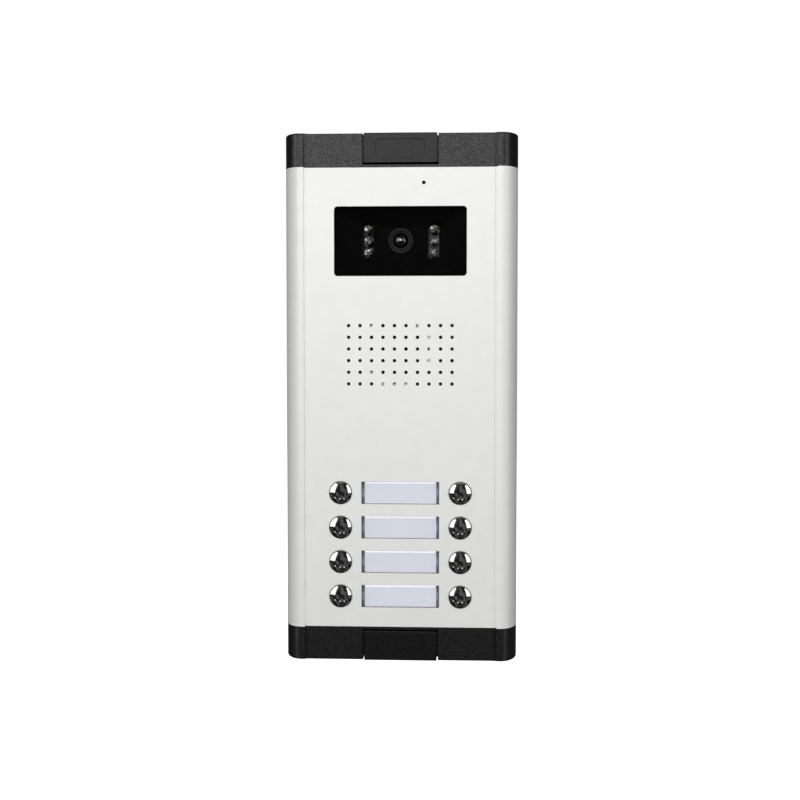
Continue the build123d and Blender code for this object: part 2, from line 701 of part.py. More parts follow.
def make_power_relay():
    """Relay that switches the door lock."""
    width, height, tall = RELAY_SIZE
    relay = plate(width, height, (MAIN_BACK, MAIN_BACK + tall), *RELAY_PLACE)
    return chamfer(relay.edges().group_by(Axis.Y)[-1], 0.6)


def make_capacitor(x, z, radius, height):
    """Electrolytic capacitor standing on the main board."""
    can = rod_y(radius, (MAIN_BACK, MAIN_BACK + height), x, z)
    return chamfer(can.edges().sort_by(Axis.Y)[-1], 0.5)


def terminal_x(index):
    """Where one way of the terminal block lies."""
    return (index - (TERMINALS - 1) / 2) * TERMINAL_PITCH


def make_terminal_block():
    """Screw terminal block that takes the building's wires from below."""
    half = TERMINALS * TERMINAL_PITCH / 2
    low, high = TERMINAL_Z - 5.0, TERMINAL_Z + 5.0
    top = MAIN_BACK + TERMINAL_TALL
    block = slab((-half, half), (MAIN_BACK, top), (low, high))
    block -= slab((-half - 1, half + 1), (top - 2.5, top + 1), (low - 1, low + 2.0))
    for index in range(TERMINALS):
        x = terminal_x(index)
        block -= rod_y(2.0, (top - 5.0, top + 1), x, TERMINAL_Z + 1.0)
        block -= slab((x - 1.7, x + 1.7), (MAIN_BACK + 2.0, MAIN_BACK + 5.0), (low - 1, low + 4.0))
    return block


def make_terminal_screw(index):
    """Clamping screw of one way of the terminal block."""
    x, z, top = terminal_x(index), TERMINAL_Z + 1.0, MAIN_BACK + 8.6
    screw = rod_y(1.8, (MAIN_BACK + 6.0, top), x, z)
    return screw - slab((x - 2, x + 2), (top - 0.8, top + 1), (z - 0.3, z + 0.3))


def make_board_header(x, z, ways):
    """Shrouded plug header on the main board's back."""
    width = HEADER_PITCH * ways + 2.4
    shell = plate(width, 5.8, (MAIN_BACK, MAIN_BACK + 7.0), x, z)
    shell -= plate(width - 1.4, 4.4, (MAIN_BACK + 1.5, MAIN_BACK + 8), x, z)
    pins = [
        slab((pin - 0.3, pin + 0.3), (MAIN_BACK + 1.0, MAIN_BACK + 6.0), (z - 0.3, z + 0.3))
        for pin in [x + HEADER_PITCH * (way - (ways - 1) / 2) for way in range(ways)]
    ]
    return shell + pins


# ---------------------------------------------------------------- back of the case


def make_rear_cover():
    """Back of the case, with the cable hole and two pressed stiffening ribs."""
    cover = plate(2 * REAR_HALF_WIDTH, 2 * REAR_HALF_HEIGHT, REAR_COVER, 0, 0, 1.0)
    cover -= rod_y(CABLE_HOLE, (-6, 0), 0, CABLE_Z)
    for side in (-1, 1):
        for z in REAR_SCREW_HEIGHTS:
            cover -= rod_y(1.7, (-6, 0), side * REAR_SCREW_X, z)
        rib_x = (side * REAR_RIB_X - 1.0, side * REAR_RIB_X + 1.0)
        cover += slab(rib_x, (REAR_COVER[1], -0.8), (-100, 100))
    return cover


def make_rear_gasket():
    """Foam seal round the edge of the rear cover."""
    span = (REAR_FLANGE_BACK, REAR_COVER[0])
    gasket = frame_ring((128.0, 260.2), (118.6, 254.6), span)
    for side in (-1, 1):
        for z in REAR_SCREW_HEIGHTS:
            gasket -= rod_y(1.7, (-6, -4), side * REAR_SCREW_X, z)
    return gasket


def make_cable_grommet():
    """Rubber grommet in the rear cover's cable hole."""
    front, back = REAR_COVER
    outline = [
        (CABLE_HOLE - 3.0, front - 1.5),
        (CABLE_HOLE + 1.8, front - 1.5),
        (CABLE_HOLE + 1.8, front),
        (CABLE_HOLE, front),
        (CABLE_HOLE, back),
        (CABLE_HOLE + 1.8, back),
        (CABLE_HOLE + 1.8, back + 1.0),
        (CABLE_HOLE - 3.0, back + 1.0),
    ]
    return turned(outline, 0, CABLE_Z)


def make_wall_bracket():
    """Steel plate screwed to the wall, which the lock screws pull the panel on to."""
    span = (-BRACKET_THICK, 0)
    bracket = plate(2 * BRACKET_HALF_WIDTH, 2 * BRACKET_HALF_HEIGHT, span, 0, 0, 6.0)
    bracket -= plate(*BRACKET_OPENING, (-3, 1), 0, CABLE_Z, 4.0)
    for x in (-WALL_HOLE_X, WALL_HOLE_X):
        for z in (-WALL_HOLE_Z, WALL_HOLE_Z):
            bracket -= rod_y(WALL_HOLE_RADIUS, (-3, 1), x, z)
    for z in (-LOCK_Z, LOCK_Z):
        bracket -= rod_y(BRACKET_NUT_HOLE, (-3, 1), 0, z)
    return bracket


def make_bracket_nut(z):
    """Clinch nut in the wall bracket for one lock screw."""
    nut = rod_y(4.0, (-5.8, -BRACKET_THICK), 0, z)
    nut += rod_y(BRACKET_NUT_HOLE, (-BRACKET_THICK, -0.2), 0, z)
    return nut - rod_y(2.0, (-7, 1), 0, z)


def make_lock_screw(z):
    """M4 screw from the cap's pocket back to the wall bracket."""
    return screw_y(0, z, POCKET_FLOOR, -0.6, 1.95, 3.8, 2.6, out=-1)


def make_cap_screw(x, y):
    """Screw down through an end cap into a rail's screw port."""
    seat = PILLAR_SEAT
    head = rod_z(2.8, (seat, seat + 2.0), x, y)
    head = chamfer(head.edges().sort_by(Axis.Z)[-1], 0.5)
    drive = slab((x - 1.7, x + 1.7), (y - 0.4, y + 0.4), (seat + 1.0, seat + 3))
    drive += slab((x - 0.4, x + 0.4), (y - 1.7, y + 1.7), (seat + 1.0, seat + 3))
    return head + rod_z(1.45, (CAP_JOINT - 12.0, seat), x, y) - drive


# ---------------------------------------------------------------- all the nodes


def mirrored_up(shape):
    """The same piece at the other end of the panel."""
    return mirror(shape, about=Plane.XY)


def build_nodes():
    """Every node of the panel, as node name to a shape or a list of shapes."""
    rail = make_rail()
    cap = make_top_cap()
    cover = make_top_cover()
    top_screws = [make_cap_screw(side * x, y) for side in (-1, 1) for x, y in SCREW_PORTS]
    nodes = {
        "front_plate": make_front_plate(),
        "right_rail": rail,
        "left_rail": mirror(rail, about=Plane.YZ),
        "top_cap": cap,
        "bottom_cap": mirrored_up(cap),
        "top_screw_cover": cover,
        "bottom_screw_cover": mirrored_up(cover),
        "camera_window": make_camera_window(),
        "window_gasket": make_window_gasket(),
        "camera_shroud": make_camera_shroud(),
        "camera_board": make_camera_board(),
        "lens_holder": make_lens_holder(),
        "lens_barrel": make_lens_barrel(),
        "lens_glass": make_lens_glass(),
        "image_sensor": make_image_sensor(),
        "infrared_leds": [
            make_infrared_led(side * LED_X, LENS_Z + LED_PITCH * up)
            for side in (-1, 1)
            for up in (-1, 0, 1)
        ],
        "microphone": make_microphone(),
        "microphone_boot": make_microphone_boot(),
        "speaker_gasket": make_speaker_gasket(),
        "speaker_basket": make_speaker_basket(),
        "speaker_cone": make_speaker_cone(),
        "speaker_magnet": make_speaker_magnet(),
        "button_bezels": [make_button_bezel(x, z) for x, z in BUTTON_PLACES],
        "switch_bodies": [make_switch_body(x, z) for x, z in BUTTON_PLACES],
        "name_windows": [make_name_window(z) for z in ROW_HEIGHTS],
        "name_cards": [make_name_card(z) for z in ROW_HEIGHTS],
        "light_guides": [make_light_guide(z) for z in ROW_HEIGHTS],
        "backlight_leds": [
            make_backlight_led(x, z) for x in (-BACKLIGHT_X, BACKLIGHT_X) for z in ROW_HEIGHTS
        ],
        "key_board": make_key_board(),
        "chassis": make_chassis(),
        "main_board": make_main_board(),
        "power_relay": make_power_relay(),
        "capacitors": [make_capacitor(*place) for place in CAPACITORS],
        "board_chips": [
            plate(width, height, (MAIN_BACK, MAIN_BACK + CHIP_TALL), x, z)
            for x, z, width, height in CHIPS
        ],
        "terminal_block": make_terminal_block(),
        "terminal_screws": [make_terminal_screw(index) for index in range(TERMINALS)],
        "board_headers": [make_board_header(*header) for header in HEADERS],
        "rear_cover": make_rear_cover(),
        "rear_gasket": make_rear_gasket(),
        "cable_grommet": make_cable_grommet(),
        "wall_bracket": make_wall_bracket(),
        "bracket_nuts": [make_bracket_nut(z) for z in (-LOCK_Z, LOCK_Z)],
        "lock_screws": [make_lock_screw(z) for z in (-LOCK_Z, LOCK_Z)],
        "cap_screws": top_screws + [mirrored_up(screw) for screw in top_screws],
        "rear_cover_screws": [
            screw_y(side * REAR_SCREW_X, z, REAR_COVER[1], REAR_FLANGE_FRONT, head_height=1.4)
            for side in (-1, 1)
            for z in REAR_SCREW_HEIGHTS
        ],
        "chassis_screws": [
            screw_y(side * CHASSIS_SCREW_X, z, CHASSIS_BACK, PLATE_BACK + 0.3)
            for side in (-1, 1)
            for z in CHASSIS_SCREW_HEIGHTS
        ],
        "shroud_screws": [
            screw_y(x, z, SHROUD_BACK, -43.2, 1.1, 2.2, 1.4) for x, z in SHROUD_SCREWS
        ],
        "board_screws": [
            screw_y(x, z, board[1], board[0] - 6.0, 1.15, 2.3, 1.5)
            for places, board in (
                (KEY_POSTS, KEY_BOARD),
                (MAIN_POSTS, MAIN_BOARD),
                (CAMERA_POSTS, CAMERA_BOARD),
            )
            for x, z in places
        ],
    }
    for number, (x, z) in enumerate(BUTTON_PLACES, start=1):
        nodes[f"button_{number}"] = make_button_cap(x, z)
    return nodes


def main():
    """Write one STEP file for each node."""
    os.makedirs("parts", exist_ok=True)
    for name, shape in build_nodes().items():
        solids = shape if isinstance(shape, list) else [shape]
        solids = [solid for piece in solids for solid in piece.solids()]
        whole = solids[0] if len(solids) == 1 else Compound(children=solids)
        export_step(whole, f"parts/{name}.step")


main()
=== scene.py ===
"""Looks of the door intercom panel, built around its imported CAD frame.

The panel hangs on the plane Y = 0 and faces -Y. Everything is in metres.
"""

import math

import bpy
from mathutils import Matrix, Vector


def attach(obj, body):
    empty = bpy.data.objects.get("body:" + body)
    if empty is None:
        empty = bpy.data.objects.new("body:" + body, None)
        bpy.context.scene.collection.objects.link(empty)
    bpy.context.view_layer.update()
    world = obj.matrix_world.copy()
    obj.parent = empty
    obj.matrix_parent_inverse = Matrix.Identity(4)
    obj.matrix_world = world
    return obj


MM = 0.001

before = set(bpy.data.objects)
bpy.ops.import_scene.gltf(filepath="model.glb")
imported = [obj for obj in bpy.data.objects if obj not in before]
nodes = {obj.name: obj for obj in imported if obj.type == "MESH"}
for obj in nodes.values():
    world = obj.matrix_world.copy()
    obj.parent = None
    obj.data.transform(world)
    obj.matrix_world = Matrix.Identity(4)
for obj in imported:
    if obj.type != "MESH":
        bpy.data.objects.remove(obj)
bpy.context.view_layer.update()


# ---------------------------------------------------------------- materials


class Shader:
    """A procedural material on one Principled node, with helpers for its texture nodes."""

    def __init__(self, name, color, roughness, metallic=0.0, **sockets):
        self.material = bpy.data.materials.new(name)
        self.material.use_nodes = True
        self.tree = self.material.node_tree
        self.bsdf = self.tree.nodes["Principled BSDF"]
        self.bsdf.inputs["Base Color"].default_value = (*color, 1.0)
        self.bsdf.inputs["Roughness"].default_value = roughness
        self.bsdf.inputs["Metallic"].default_value = metallic
        for socket, value in sockets.items():
            self.bsdf.inputs[socket.replace("_", " ")].default_value = value
        self.normal = None

    def add(self, kind, **values):
        """A new node, with attributes set from keywords."""
        node = self.tree.nodes.new(kind)
        for key, value in values.items():
            setattr(node, key, value)
        return node

    def link(self, source, target):
        self.tree.links.new(source, target)

    def place(self, stretch=(1.0, 1.0, 1.0)):
        """The point on the object, stretched along each axis."""
        coords = self.add("ShaderNodeTexCoord").outputs["Object"]
        if stretch == (1.0, 1.0, 1.0):
            return coords
        mapping = self.add("ShaderNodeMapping")
        mapping.inputs["Scale"].default_value = stretch
        self.link(coords, mapping.inputs["Vector"])
        return mapping.outputs["Vector"]

    def noise(self, size, detail=2.0, stretch=(1.0, 1.0, 1.0)):
        """Noise whose features are about size metres across."""
        node = self.add("ShaderNodeTexNoise")
        node.inputs["Scale"].default_value = 1.0 / size
        node.inputs["Detail"].default_value = detail
        self.link(self.place(stretch), node.inputs["Vector"])
        return node.outputs["Fac"]

    def cells(self, size):
        """Voronoi cells about size metres across."""
        node = self.add("ShaderNodeTexVoronoi")
        node.inputs["Scale"].default_value = 1.0 / size
        self.link(self.place(), node.inputs["Vector"])
        return node.outputs["Distance"]

    def axis(self, letter, source="Object", size=False):
        """One coordinate of the point or of its normal, and its absolute value if size is set."""
        split = self.add("ShaderNodeSeparateXYZ")
        self.link(self.add("ShaderNodeTexCoord").outputs[source], split.inputs["Vector"])
        value = split.outputs[letter]
        if not size:
            return value
        absolute = self.add("ShaderNodeMath", operation="ABSOLUTE")
        self.link(value, absolute.inputs[0])
        return absolute.outputs[0]

    def times(self, one, other):
        node = self.add("ShaderNodeMath", operation="MULTIPLY")
        self.link(one, node.inputs[0])
        self.link(other, node.inputs[1])
        return node.outputs[0]

    def blend_to(self, mask, under, over):
        """The colour socket under, turned into the fixed colour over where the mask is 1."""
        mix = self.add("ShaderNodeMix", data_type="RGBA")
        self.link(mask, mix.inputs["Factor"])
        self.link(under, mix.inputs["A"])
        mix.inputs["B"].default_value = (*over, 1.0)
        return mix.outputs["Result"]

    def ramp(self, value, low, high, at=(0.35, 0.65)):
        """Value turned into a colour between low and high."""
        node = self.add("ShaderNodeValToRGB")
        for element, position, color in zip(node.color_ramp.elements, at, (low, high)):
            element.position = position
            element.color = (*color, 1.0)
        self.link(value, node.inputs["Fac"])
        return node.outputs["Color"]

    def remap(self, value, low, high, at=(0.3, 0.7)):
        """Value turned into a number between low and high."""
        node = self.add("ShaderNodeMapRange")
        for socket, number in zip(("From Min", "From Max", "To Min", "To Max"), (*at, low, high)):
            node.inputs[socket].default_value = number
        self.link(value, node.inputs["Value"])
        return node.outputs["Result"]

    def color(self, value, low, high, at=(0.35, 0.65)):
        self.link(self.ramp(value, low, high, at), self.bsdf.inputs["Base Color"])
        return self

    def rough(self, value, low, high):
        self.link(self.remap(value, low, high), self.bsdf.inputs["Roughness"])
        return self

    def bump(self, value, height, strength=1.0):
        """Adds a bump of that height in metres to what is there already."""
        node = self.add("ShaderNodeBump")
        node.inputs["Strength"].default_value = strength
        node.inputs["Distance"].default_value = height
        self.link(value, node.inputs["Height"])
        if self.normal is not None:
            self.link(self.normal, node.inputs["Normal"])
        self.normal = node.outputs["Normal"]
        self.link(self.normal, self.bsdf.inputs["Normal"])
        return self


def shade(level):
    """A neutral grey of that linear level."""
    return (level, level, level)


GREEN_MASK = ((0.010, 0.105, 0.045), (0.012, 0.125, 0.050), (0.035, 0.24, 0.10))
BLACK_MASK = (shade(0.006), shade(0.008), shade(0.02))
WHITE = (1, 1, 1)
# Painted glow of the name cards, standing in for their backlight
PAINTED_CARD_GLOW = 0.29
# Glow of the painted highlights on the name windows' upper and lower front bevels
BEVEL_PAINTED_HIGHLIGHT = 1.6
LOWER_BEVEL_PAINTED_HIGHLIGHT = 0.8
# Glow of the painted glints in the clear lamps' domes
PAINTED_GLINT_GLOW = 1.6
ALUMINIUM_TINT = (0.86, 0.865, 0.85)

# Every pair below is where a blend begins and where it ends.
# Walls of the plate's openings, where shade is painted: clear of the plate's sides, and behind its
# front face
CUT_WALL_PAINTED_SHADE = (0.10, 0.10, 0.10)
CUT_WALL_X = (50 * MM, 51 * MM)
CUT_WALL_Y = (-47.9 * MM, -47.6 * MM)

# Name windows and light guides: their ends, the windows' depth and their front bevels, which bound
# the windows' painted highlights and shade
NAME_END_X = (20.4 * MM, 20.5 * MM)
NAME_DEEP_Y = (-47.2 * MM, -46.1 * MM)
NAME_FRONT_Y = (-47.1 * MM, -47.0 * MM)
OPAL_END_X = (20.35 * MM, 20.45 * MM)

# Depths in the clear lamps: the stem behind the dome, where shade is painted, and the dome, where
# glints are painted
STEM_Y = (-42.4 * MM, -41.4 * MM)
DOME_Y = (-43.2 * MM, -42.2 * MM)


def satin_aluminium(name, tint, shade_cut_walls=False):
    """Bead-blasted and anodised aluminium; its third argument paints shade on the walls of the
    openings cut into it.
    """
    look = Shader(name, tint, 0.50, metallic=0.16, Specular_IOR_Level=0.4)
    darker = tuple(0.97 * part for part in tint)
    skin = look.ramp(look.noise(9 * MM, 4.0), darker, tint, at=(0.3, 0.7))
    if shade_cut_walls:
        # Painted shade: the walls of the openings turned dark grey
        inside = look.remap(look.axis("X", size=True), 1.0, 0.0, at=CUT_WALL_X)
        deep = look.remap(look.axis("Y"), 0.0, 1.0, at=CUT_WALL_Y)
        skin = look.blend_to(look.times(inside, deep), skin, CUT_WALL_PAINTED_SHADE)
    look.link(skin, look.bsdf.inputs["Base Color"])
    look.rough(look.noise(1.4 * MM, 3.0), 0.46, 0.56)
    look.bump(look.noise(0.22 * MM, 3.0), 0.012 * MM, 0.5)
    return look.material


def textured_plastic(name, level, sheen, grain=0.8):
    """Black ABS out of a spark-eroded mould; sheen is how shiny its grains are, low and high."""
    look = Shader(name, shade(level), 0.48)
    look.color(look.noise(0.9 * MM, 3.0), shade(level * 0.6), shade(level * 1.6))
    look.rough(look.noise(0.8 * MM, 2.0), 0.32, 0.44)
    look.link(look.remap(look.noise(0.7 * MM, 2.0), *sheen), look.bsdf.inputs["Specular IOR Level"])
    look.bump(look.cells(1.0 * MM), 0.08 * MM, grain)
    look.bump(look.noise(0.45 * MM, 3.0), 0.05 * MM, grain)
    return look.material


def moulded_plastic(name, color, roughness=0.45):
    """Plain injection moulding, with slight flow marks."""
    look = Shader(name, color, roughness)
    look.color(look.noise(6 * MM, 3.0), tuple(0.9 * part for part in color), color)
    look.rough(look.noise(2 * MM, 3.0), roughness - 0.06, roughness + 0.08)
    look.bump(look.noise(0.4 * MM, 2.0), 0.01 * MM, 0.4)
    return look.material


def foam(name):
    """Closed-cell foam or cast rubber foam."""
    look = Shader(name, shade(0.02), 0.9)
    look.color(look.cells(0.6 * MM), shade(0.012), shade(0.035), at=(0.1, 0.7))
    look.bump(look.cells(0.5 * MM), 0.15 * MM, 0.8)
    return look.material


def rubber(name):
    look = Shader(name, shade(0.018), 0.7)
    look.color(look.noise(3 * MM, 3.0), shade(0.013), shade(0.024))
    look.rough(look.noise(1 * MM, 3.0), 0.6, 0.8)
    look.bump(look.noise(0.3 * MM, 3.0), 0.02 * MM, 0.5)
    return look.material


def chrome(name):
    """Bright chrome plating, a little soiled in places."""
    look = Shader(name, (0.84, 0.84, 0.83), 0.05, metallic=1.0)
    look.color(look.noise(4 * MM, 3.0), (0.80, 0.80, 0.79), (0.88, 0.88, 0.87))
    look.rough(look.noise(3 * MM, 4.0), 0.03, 0.09)
    return look.material


def plated_steel(name, color=(0.55, 0.55, 0.53), roughness=0.34):
    """Zinc-plated steel with a faint spangle and drawing lines."""
    look = Shader(name, color, roughness, metallic=1.0)
    look.color(look.cells(3 * MM), tuple(0.82 * part for part in color), color, at=(0.1, 0.8))
    look.rough(look.noise(0.9 * MM, 4.0, (1.0, 1.0, 0.10)), roughness - 0.05, roughness + 0.07)
    look.bump(look.noise(0.25 * MM, 2.0, (1.0, 1.0, 0.08)), 0.006 * MM, 0.5)
    return look.material


def powder_coat(name, level):
    """Powder-coated sheet with orange peel."""
    look = Shader(name, shade(level), 0.5)
    look.color(look.noise(1.0 * MM, 3.0), shade(level * 0.85), shade(level * 1.2))
    look.rough(look.noise(1.5 * MM, 2.0), 0.42, 0.6)
    look.bump(look.noise(1.1 * MM, 2.0), 0.04 * MM, 0.6)
    return look.material


def black_moulding(name, level, sheen, roughness):
    """Light-absorbing black moulding with a fine matt texture."""
    look = Shader(name, shade(level), roughness, Specular_IOR_Level=sheen)
    look.color(look.noise(1.0 * MM, 3.0), shade(0.6 * level), shade(1.4 * level))
    look.bump(look.noise(0.4 * MM, 2.0), 0.02 * MM, 0.4)
    return look.material


def circuit_board(name, mask=GREEN_MASK):
    """Solder mask over copper tracks, which show as raised lighter lines."""
    look = Shader(name, mask[0], 0.3, Coat_Weight=0.4, Coat_Roughness=0.15)
    brick = look.add("ShaderNodeTexBrick", offset=0.37, squash=1.4, squash_frequency=3)
    brick.inputs["Scale"].default_value = 1.0 / (9 * MM)
    brick.inputs["Mortar Size"].default_value = 0.035
    brick.inputs["Mortar Smooth"].default_value = 0.2
    for socket, part in zip(("Color1", "Color2", "Mortar"), mask):
        brick.inputs[socket].default_value = (*part, 1.0)
    turn = look.add("ShaderNodeMapping")
    turn.inputs["Rotation"].default_value = (math.radians(90), 0, 0)
    look.link(look.place(), turn.inputs["Vector"])
    look.link(turn.outputs["Vector"], brick.inputs["Vector"])
    look.link(brick.outputs["Color"], look.bsdf.inputs["Base Color"])
    look.bump(brick.outputs["Fac"], 0.04 * MM, 0.6)
    look.rough(look.noise(4 * MM, 3.0), 0.25, 0.4)
    return look.material


def clear_plastic(name, color, alpha, roughness=0.05):
    """Clear or tinted acrylic; alpha is how much of what is behind it is lost."""
    look = Shader(name, color, roughness, Alpha=alpha, IOR=1.49)
    look.rough(look.noise(6 * MM, 3.0), roughness * 0.6, roughness * 1.5)
    return look.material


def name_acrylic(name):
    """Clear acrylic with painted highlights, glowing white on its upper front bevels and weaker on
    its lower ones, ends painted light, and painted shade where the ends lie deeper.
    """
    look = Shader(name, (0.80, 0.82, 0.88), 0.10, Alpha=0.24, IOR=1.49)
    look.rough(look.noise(6 * MM, 3.0), 0.06, 0.15)
    face = look.ramp(look.noise(5 * MM, 2.0), (0.80, 0.81, 0.88), (0.86, 0.87, 0.92))
    ends = look.remap(look.axis("X", size=True), 0.0, 1.0, at=NAME_END_X)
    deep = look.remap(look.axis("Y"), 0.0, 1.0, at=NAME_DEEP_Y)
    # Painted light on the window ends, and painted shade where the ends lie deeper
    face = look.blend_to(ends, face, (0.95, 0.97, 0.96))
    face = look.blend_to(look.times(ends, deep), face, (0.35, 0.36, 0.36))
    # Painted highlights on the front bevels: white and glowing on the upper ones, glowing more
    # weakly on the lower ones
    up = look.remap(look.axis("Z", "Normal"), 0.0, 1.0, at=(0.5, 0.65))
    down = look.remap(look.axis("Z", "Normal"), 1.0, 0.0, at=(-0.65, -0.5))
    front = look.remap(look.axis("Y"), 1.0, 0.0, at=NAME_FRONT_Y)
    face = look.blend_to(look.times(up, front), face, WHITE)
    look.link(face, look.bsdf.inputs["Base Color"])
    lower = look.remap(look.times(down, front), 0.0, LOWER_BEVEL_PAINTED_HIGHLIGHT, at=(0.0, 1.0))
    glow = look.add("ShaderNodeMath", operation="MULTIPLY_ADD")
    look.link(look.times(up, front), glow.inputs[0])
    glow.inputs[1].default_value = BEVEL_PAINTED_HIGHLIGHT
    look.link(lower, glow.inputs[2])
    look.bsdf.inputs["Emission Color"].default_value = (*WHITE, 1)
    look.link(glow.outputs[0], look.bsdf.inputs["Emission Strength"])
    return look.material


def card_paper(name):
    """Uncoated white card, with a painted glow standing in for its backlight."""
    look = Shader(name, (0.82, 0.83, 0.88), 0.85)
    look.color(look.noise(0.35 * MM, 4.0), (0.80, 0.81, 0.86), (0.83, 0.84, 0.89))
    look.bump(look.noise(0.12 * MM, 4.0), 0.01 * MM, 0.4)
    # Painted glow, standing in for the backlight
    look.bsdf.inputs["Emission Color"].default_value = (0.92, 0.94, 1.0, 1.0)
    look.bsdf.inputs["Emission Strength"].default_value = PAINTED_CARD_GLOW
    return look.material


def lens_glass(name):
    """Multi-coated lens glass over a black barrel: dark, with bright violet-grey highlights."""
    look = Shader(name, (0.18, 0.17, 0.20), 0.04, metallic=1.0)
    look.color(look.noise(2 * MM, 2.0), (0.14, 0.13, 0.16), (0.22, 0.21, 0.25))
    look.rough(look.noise(3 * MM, 2.0), 0.02, 0.06)
    return look.material


def clear_epoxy(name):
    """Water-clear lamp, rippled like cast epoxy, with painted sparkle in its colour, painted shade
    on its stem and painted glints glowing in its dome.
    """
    look = Shader(name, (0.9, 0.9, 0.9), 0.10, metallic=0.45, Alpha=0.72, Coat_Weight=1.0)
    cells = look.cells(1.8 * MM)
    # Painted sparkle: bright and dark cells in the colour
    painted_sparkle = look.ramp(cells, shade(1.0), shade(0.12), at=(0.30, 0.54))
    # Painted shade on the stem behind the dome
    stem = look.remap(look.axis("Y"), 0.0, 1.0, at=STEM_Y)
    look.link(look.blend_to(stem, painted_sparkle, shade(0.02)), look.bsdf.inputs["Base Color"])
    # Painted glints: glowing spots in the dome
    dome = look.remap(look.axis("Y"), 1.0, 0.0, at=DOME_Y)
    glints = look.times(dome, look.remap(cells, PAINTED_GLINT_GLOW, 0.0, at=(0.08, 0.30)))
    look.bsdf.inputs["Emission Color"].default_value = (*WHITE, 1)
    look.link(glints, look.bsdf.inputs["Emission Strength"])
    look.rough(look.noise(2 * MM, 2.0), 0.08, 0.22)
    look.bump(look.cells(1.5 * MM), 1.2 * MM, 1.0)
    return look.material


def ferrite(name):
    look = Shader(name, shade(0.05), 0.55, metallic=0.3)
    look.color(look.noise(0.8 * MM, 4.0), shade(0.035), shade(0.075))
    look.bump(look.noise(0.5 * MM, 4.0), 0.05 * MM, 0.6)
    return look.material


def phosphor(name):
    look = Shader(name, (0.85, 0.80, 0.45), 0.4)
    look.color(look.noise(0.8 * MM, 3.0), (0.75, 0.70, 0.35), (0.88, 0.84, 0.55))
    return look.material


def masked_opal(name):
    """Opal acrylic, printed black at both ends so that the light stays behind the card."""
    look = Shader(name, (0.80, 0.82, 0.85), 0.3)
    white = look.ramp(look.noise(3 * MM, 3.0), (0.78, 0.80, 0.84), (0.83, 0.85, 0.88))
    beyond = look.remap(look.axis("X", size=True), 0.0, 1.0, at=OPAL_END_X)
    look.link(look.blend_to(beyond, white, (0.12, 0.12, 0.12)), look.bsdf.inputs["Base Color"])
    return look.material


LOOKS = {
    "plate": (satin_aluminium("plate_aluminium", ALUMINIUM_TINT, True), ["front_plate"]),
    "rail": (satin_aluminium("rail_aluminium", ALUMINIUM_TINT), ["left_rail", "right_rail"]),
    "cap": (textured_plastic("cap_plastic", 0.0035, (0.19, 0.50)), ["top_cap", "bottom_cap"]),
    "cover": (
        textured_plastic("cover_plastic", 0.003, (0.19, 0.29), 0.35),
        ["top_screw_cover", "bottom_screw_cover"],
    ),
    "window": (clear_plastic("smoked_acrylic", shade(0.006), 0.12, 0.03), ["camera_window"]),
    "foam": (foam("gasket_foam"), ["window_gasket", "speaker_gasket", "rear_gasket"]),
    "shroud": (black_moulding("shroud_plastic", 0.002, 0.08, 0.9), ["camera_shroud"]),
    "board": (circuit_board("solder_mask"), ["key_board", "main_board"]),
    "camera_board": (circuit_board("black_solder_mask", BLACK_MASK), ["camera_board"]),
    "lens_black": (
        black_moulding("lens_black", 0.011, 0.12, 0.6),
        ["lens_holder", "lens_barrel"],
    ),
    "lens_glass": (lens_glass("coated_glass"), ["lens_glass"]),
    "sensor": (moulded_plastic("sensor_package", (0.02, 0.02, 0.035), 0.2), ["image_sensor"]),
    "epoxy": (clear_epoxy("clear_epoxy"), ["infrared_leds"]),
    "capsule": (plated_steel("capsule_can", (0.7, 0.7, 0.7), 0.3), ["microphone"]),
    "rubber": (rubber("black_rubber"), ["microphone_boot", "cable_grommet"]),
    "basket": (plated_steel("basket_steel", (0.6, 0.6, 0.58), 0.3), ["speaker_basket"]),
    "cone": (rubber("cone_paper"), ["speaker_cone"]),
    "magnet": (ferrite("magnet_ferrite"), ["speaker_magnet"]),
    "chrome": (
        chrome("button_chrome"),
        ["button_bezels", *[f"button_{number}" for number in range(1, 9)]],
    ),
    "switch": (moulded_plastic("switch_black", shade(0.02), 0.5), ["switch_bodies"]),
    "name_window": (name_acrylic("clear_acrylic"), ["name_windows"]),
    "card": (card_paper("name_card"), ["name_cards"]),
    "opal": (masked_opal("opal_acrylic"), ["light_guides"]),
    "phosphor": (phosphor("lamp_phosphor"), ["backlight_leds"]),
    "chassis": (moulded_plastic("chassis_plastic", shade(0.02), 0.55), ["chassis"]),
    "relay": (moulded_plastic("relay_blue", (0.01, 0.06, 0.28), 0.3), ["power_relay"]),
    "capacitor": (moulded_plastic("capacitor_sleeve", (0.01, 0.015, 0.05), 0.25), ["capacitors"]),
    "chip": (moulded_plastic("chip_black", shade(0.018), 0.55), ["board_chips"]),
    "terminal": (moulded_plastic("terminal_green", (0.01, 0.22, 0.07), 0.4), ["terminal_block"]),
    "header": (moulded_plastic("header_cream", (0.68, 0.63, 0.48), 0.45), ["board_headers"]),
    "rear": (powder_coat("cover_coat", 0.03), ["rear_cover"]),
    "bracket": (plated_steel("bracket_zinc"), ["wall_bracket", "bracket_nuts"]),
    "screw": (
        plated_steel("screw_zinc", (0.6, 0.6, 0.58), 0.28),
        [
            "lock_screws",
            "cap_screws",
            "rear_cover_screws",
            "chassis_screws",
            "shroud_screws",
            "board_screws",
            "terminal_screws",
        ],
    ),
}


def dress(node, material):
    """Puts one material on a CAD node."""
    slots = nodes[node].material_slots
    if not slots:
        nodes[node].data.materials.append(material)
    for slot in nodes[node].material_slots:
        slot.material = material


for material, names in LOOKS.values():
    for name in names:
        dress(name, material)


# ---------------------------------------------------------------- added pieces


SHARP_EDGE = 35
BOX_FACES = (
    (0, 1, 3, 2),
    (4, 6, 7, 5),
    (0, 4, 5, 1),
    (2, 3, 7, 6),
    (0, 2, 6, 4),
    (1, 5, 7, 3),
)


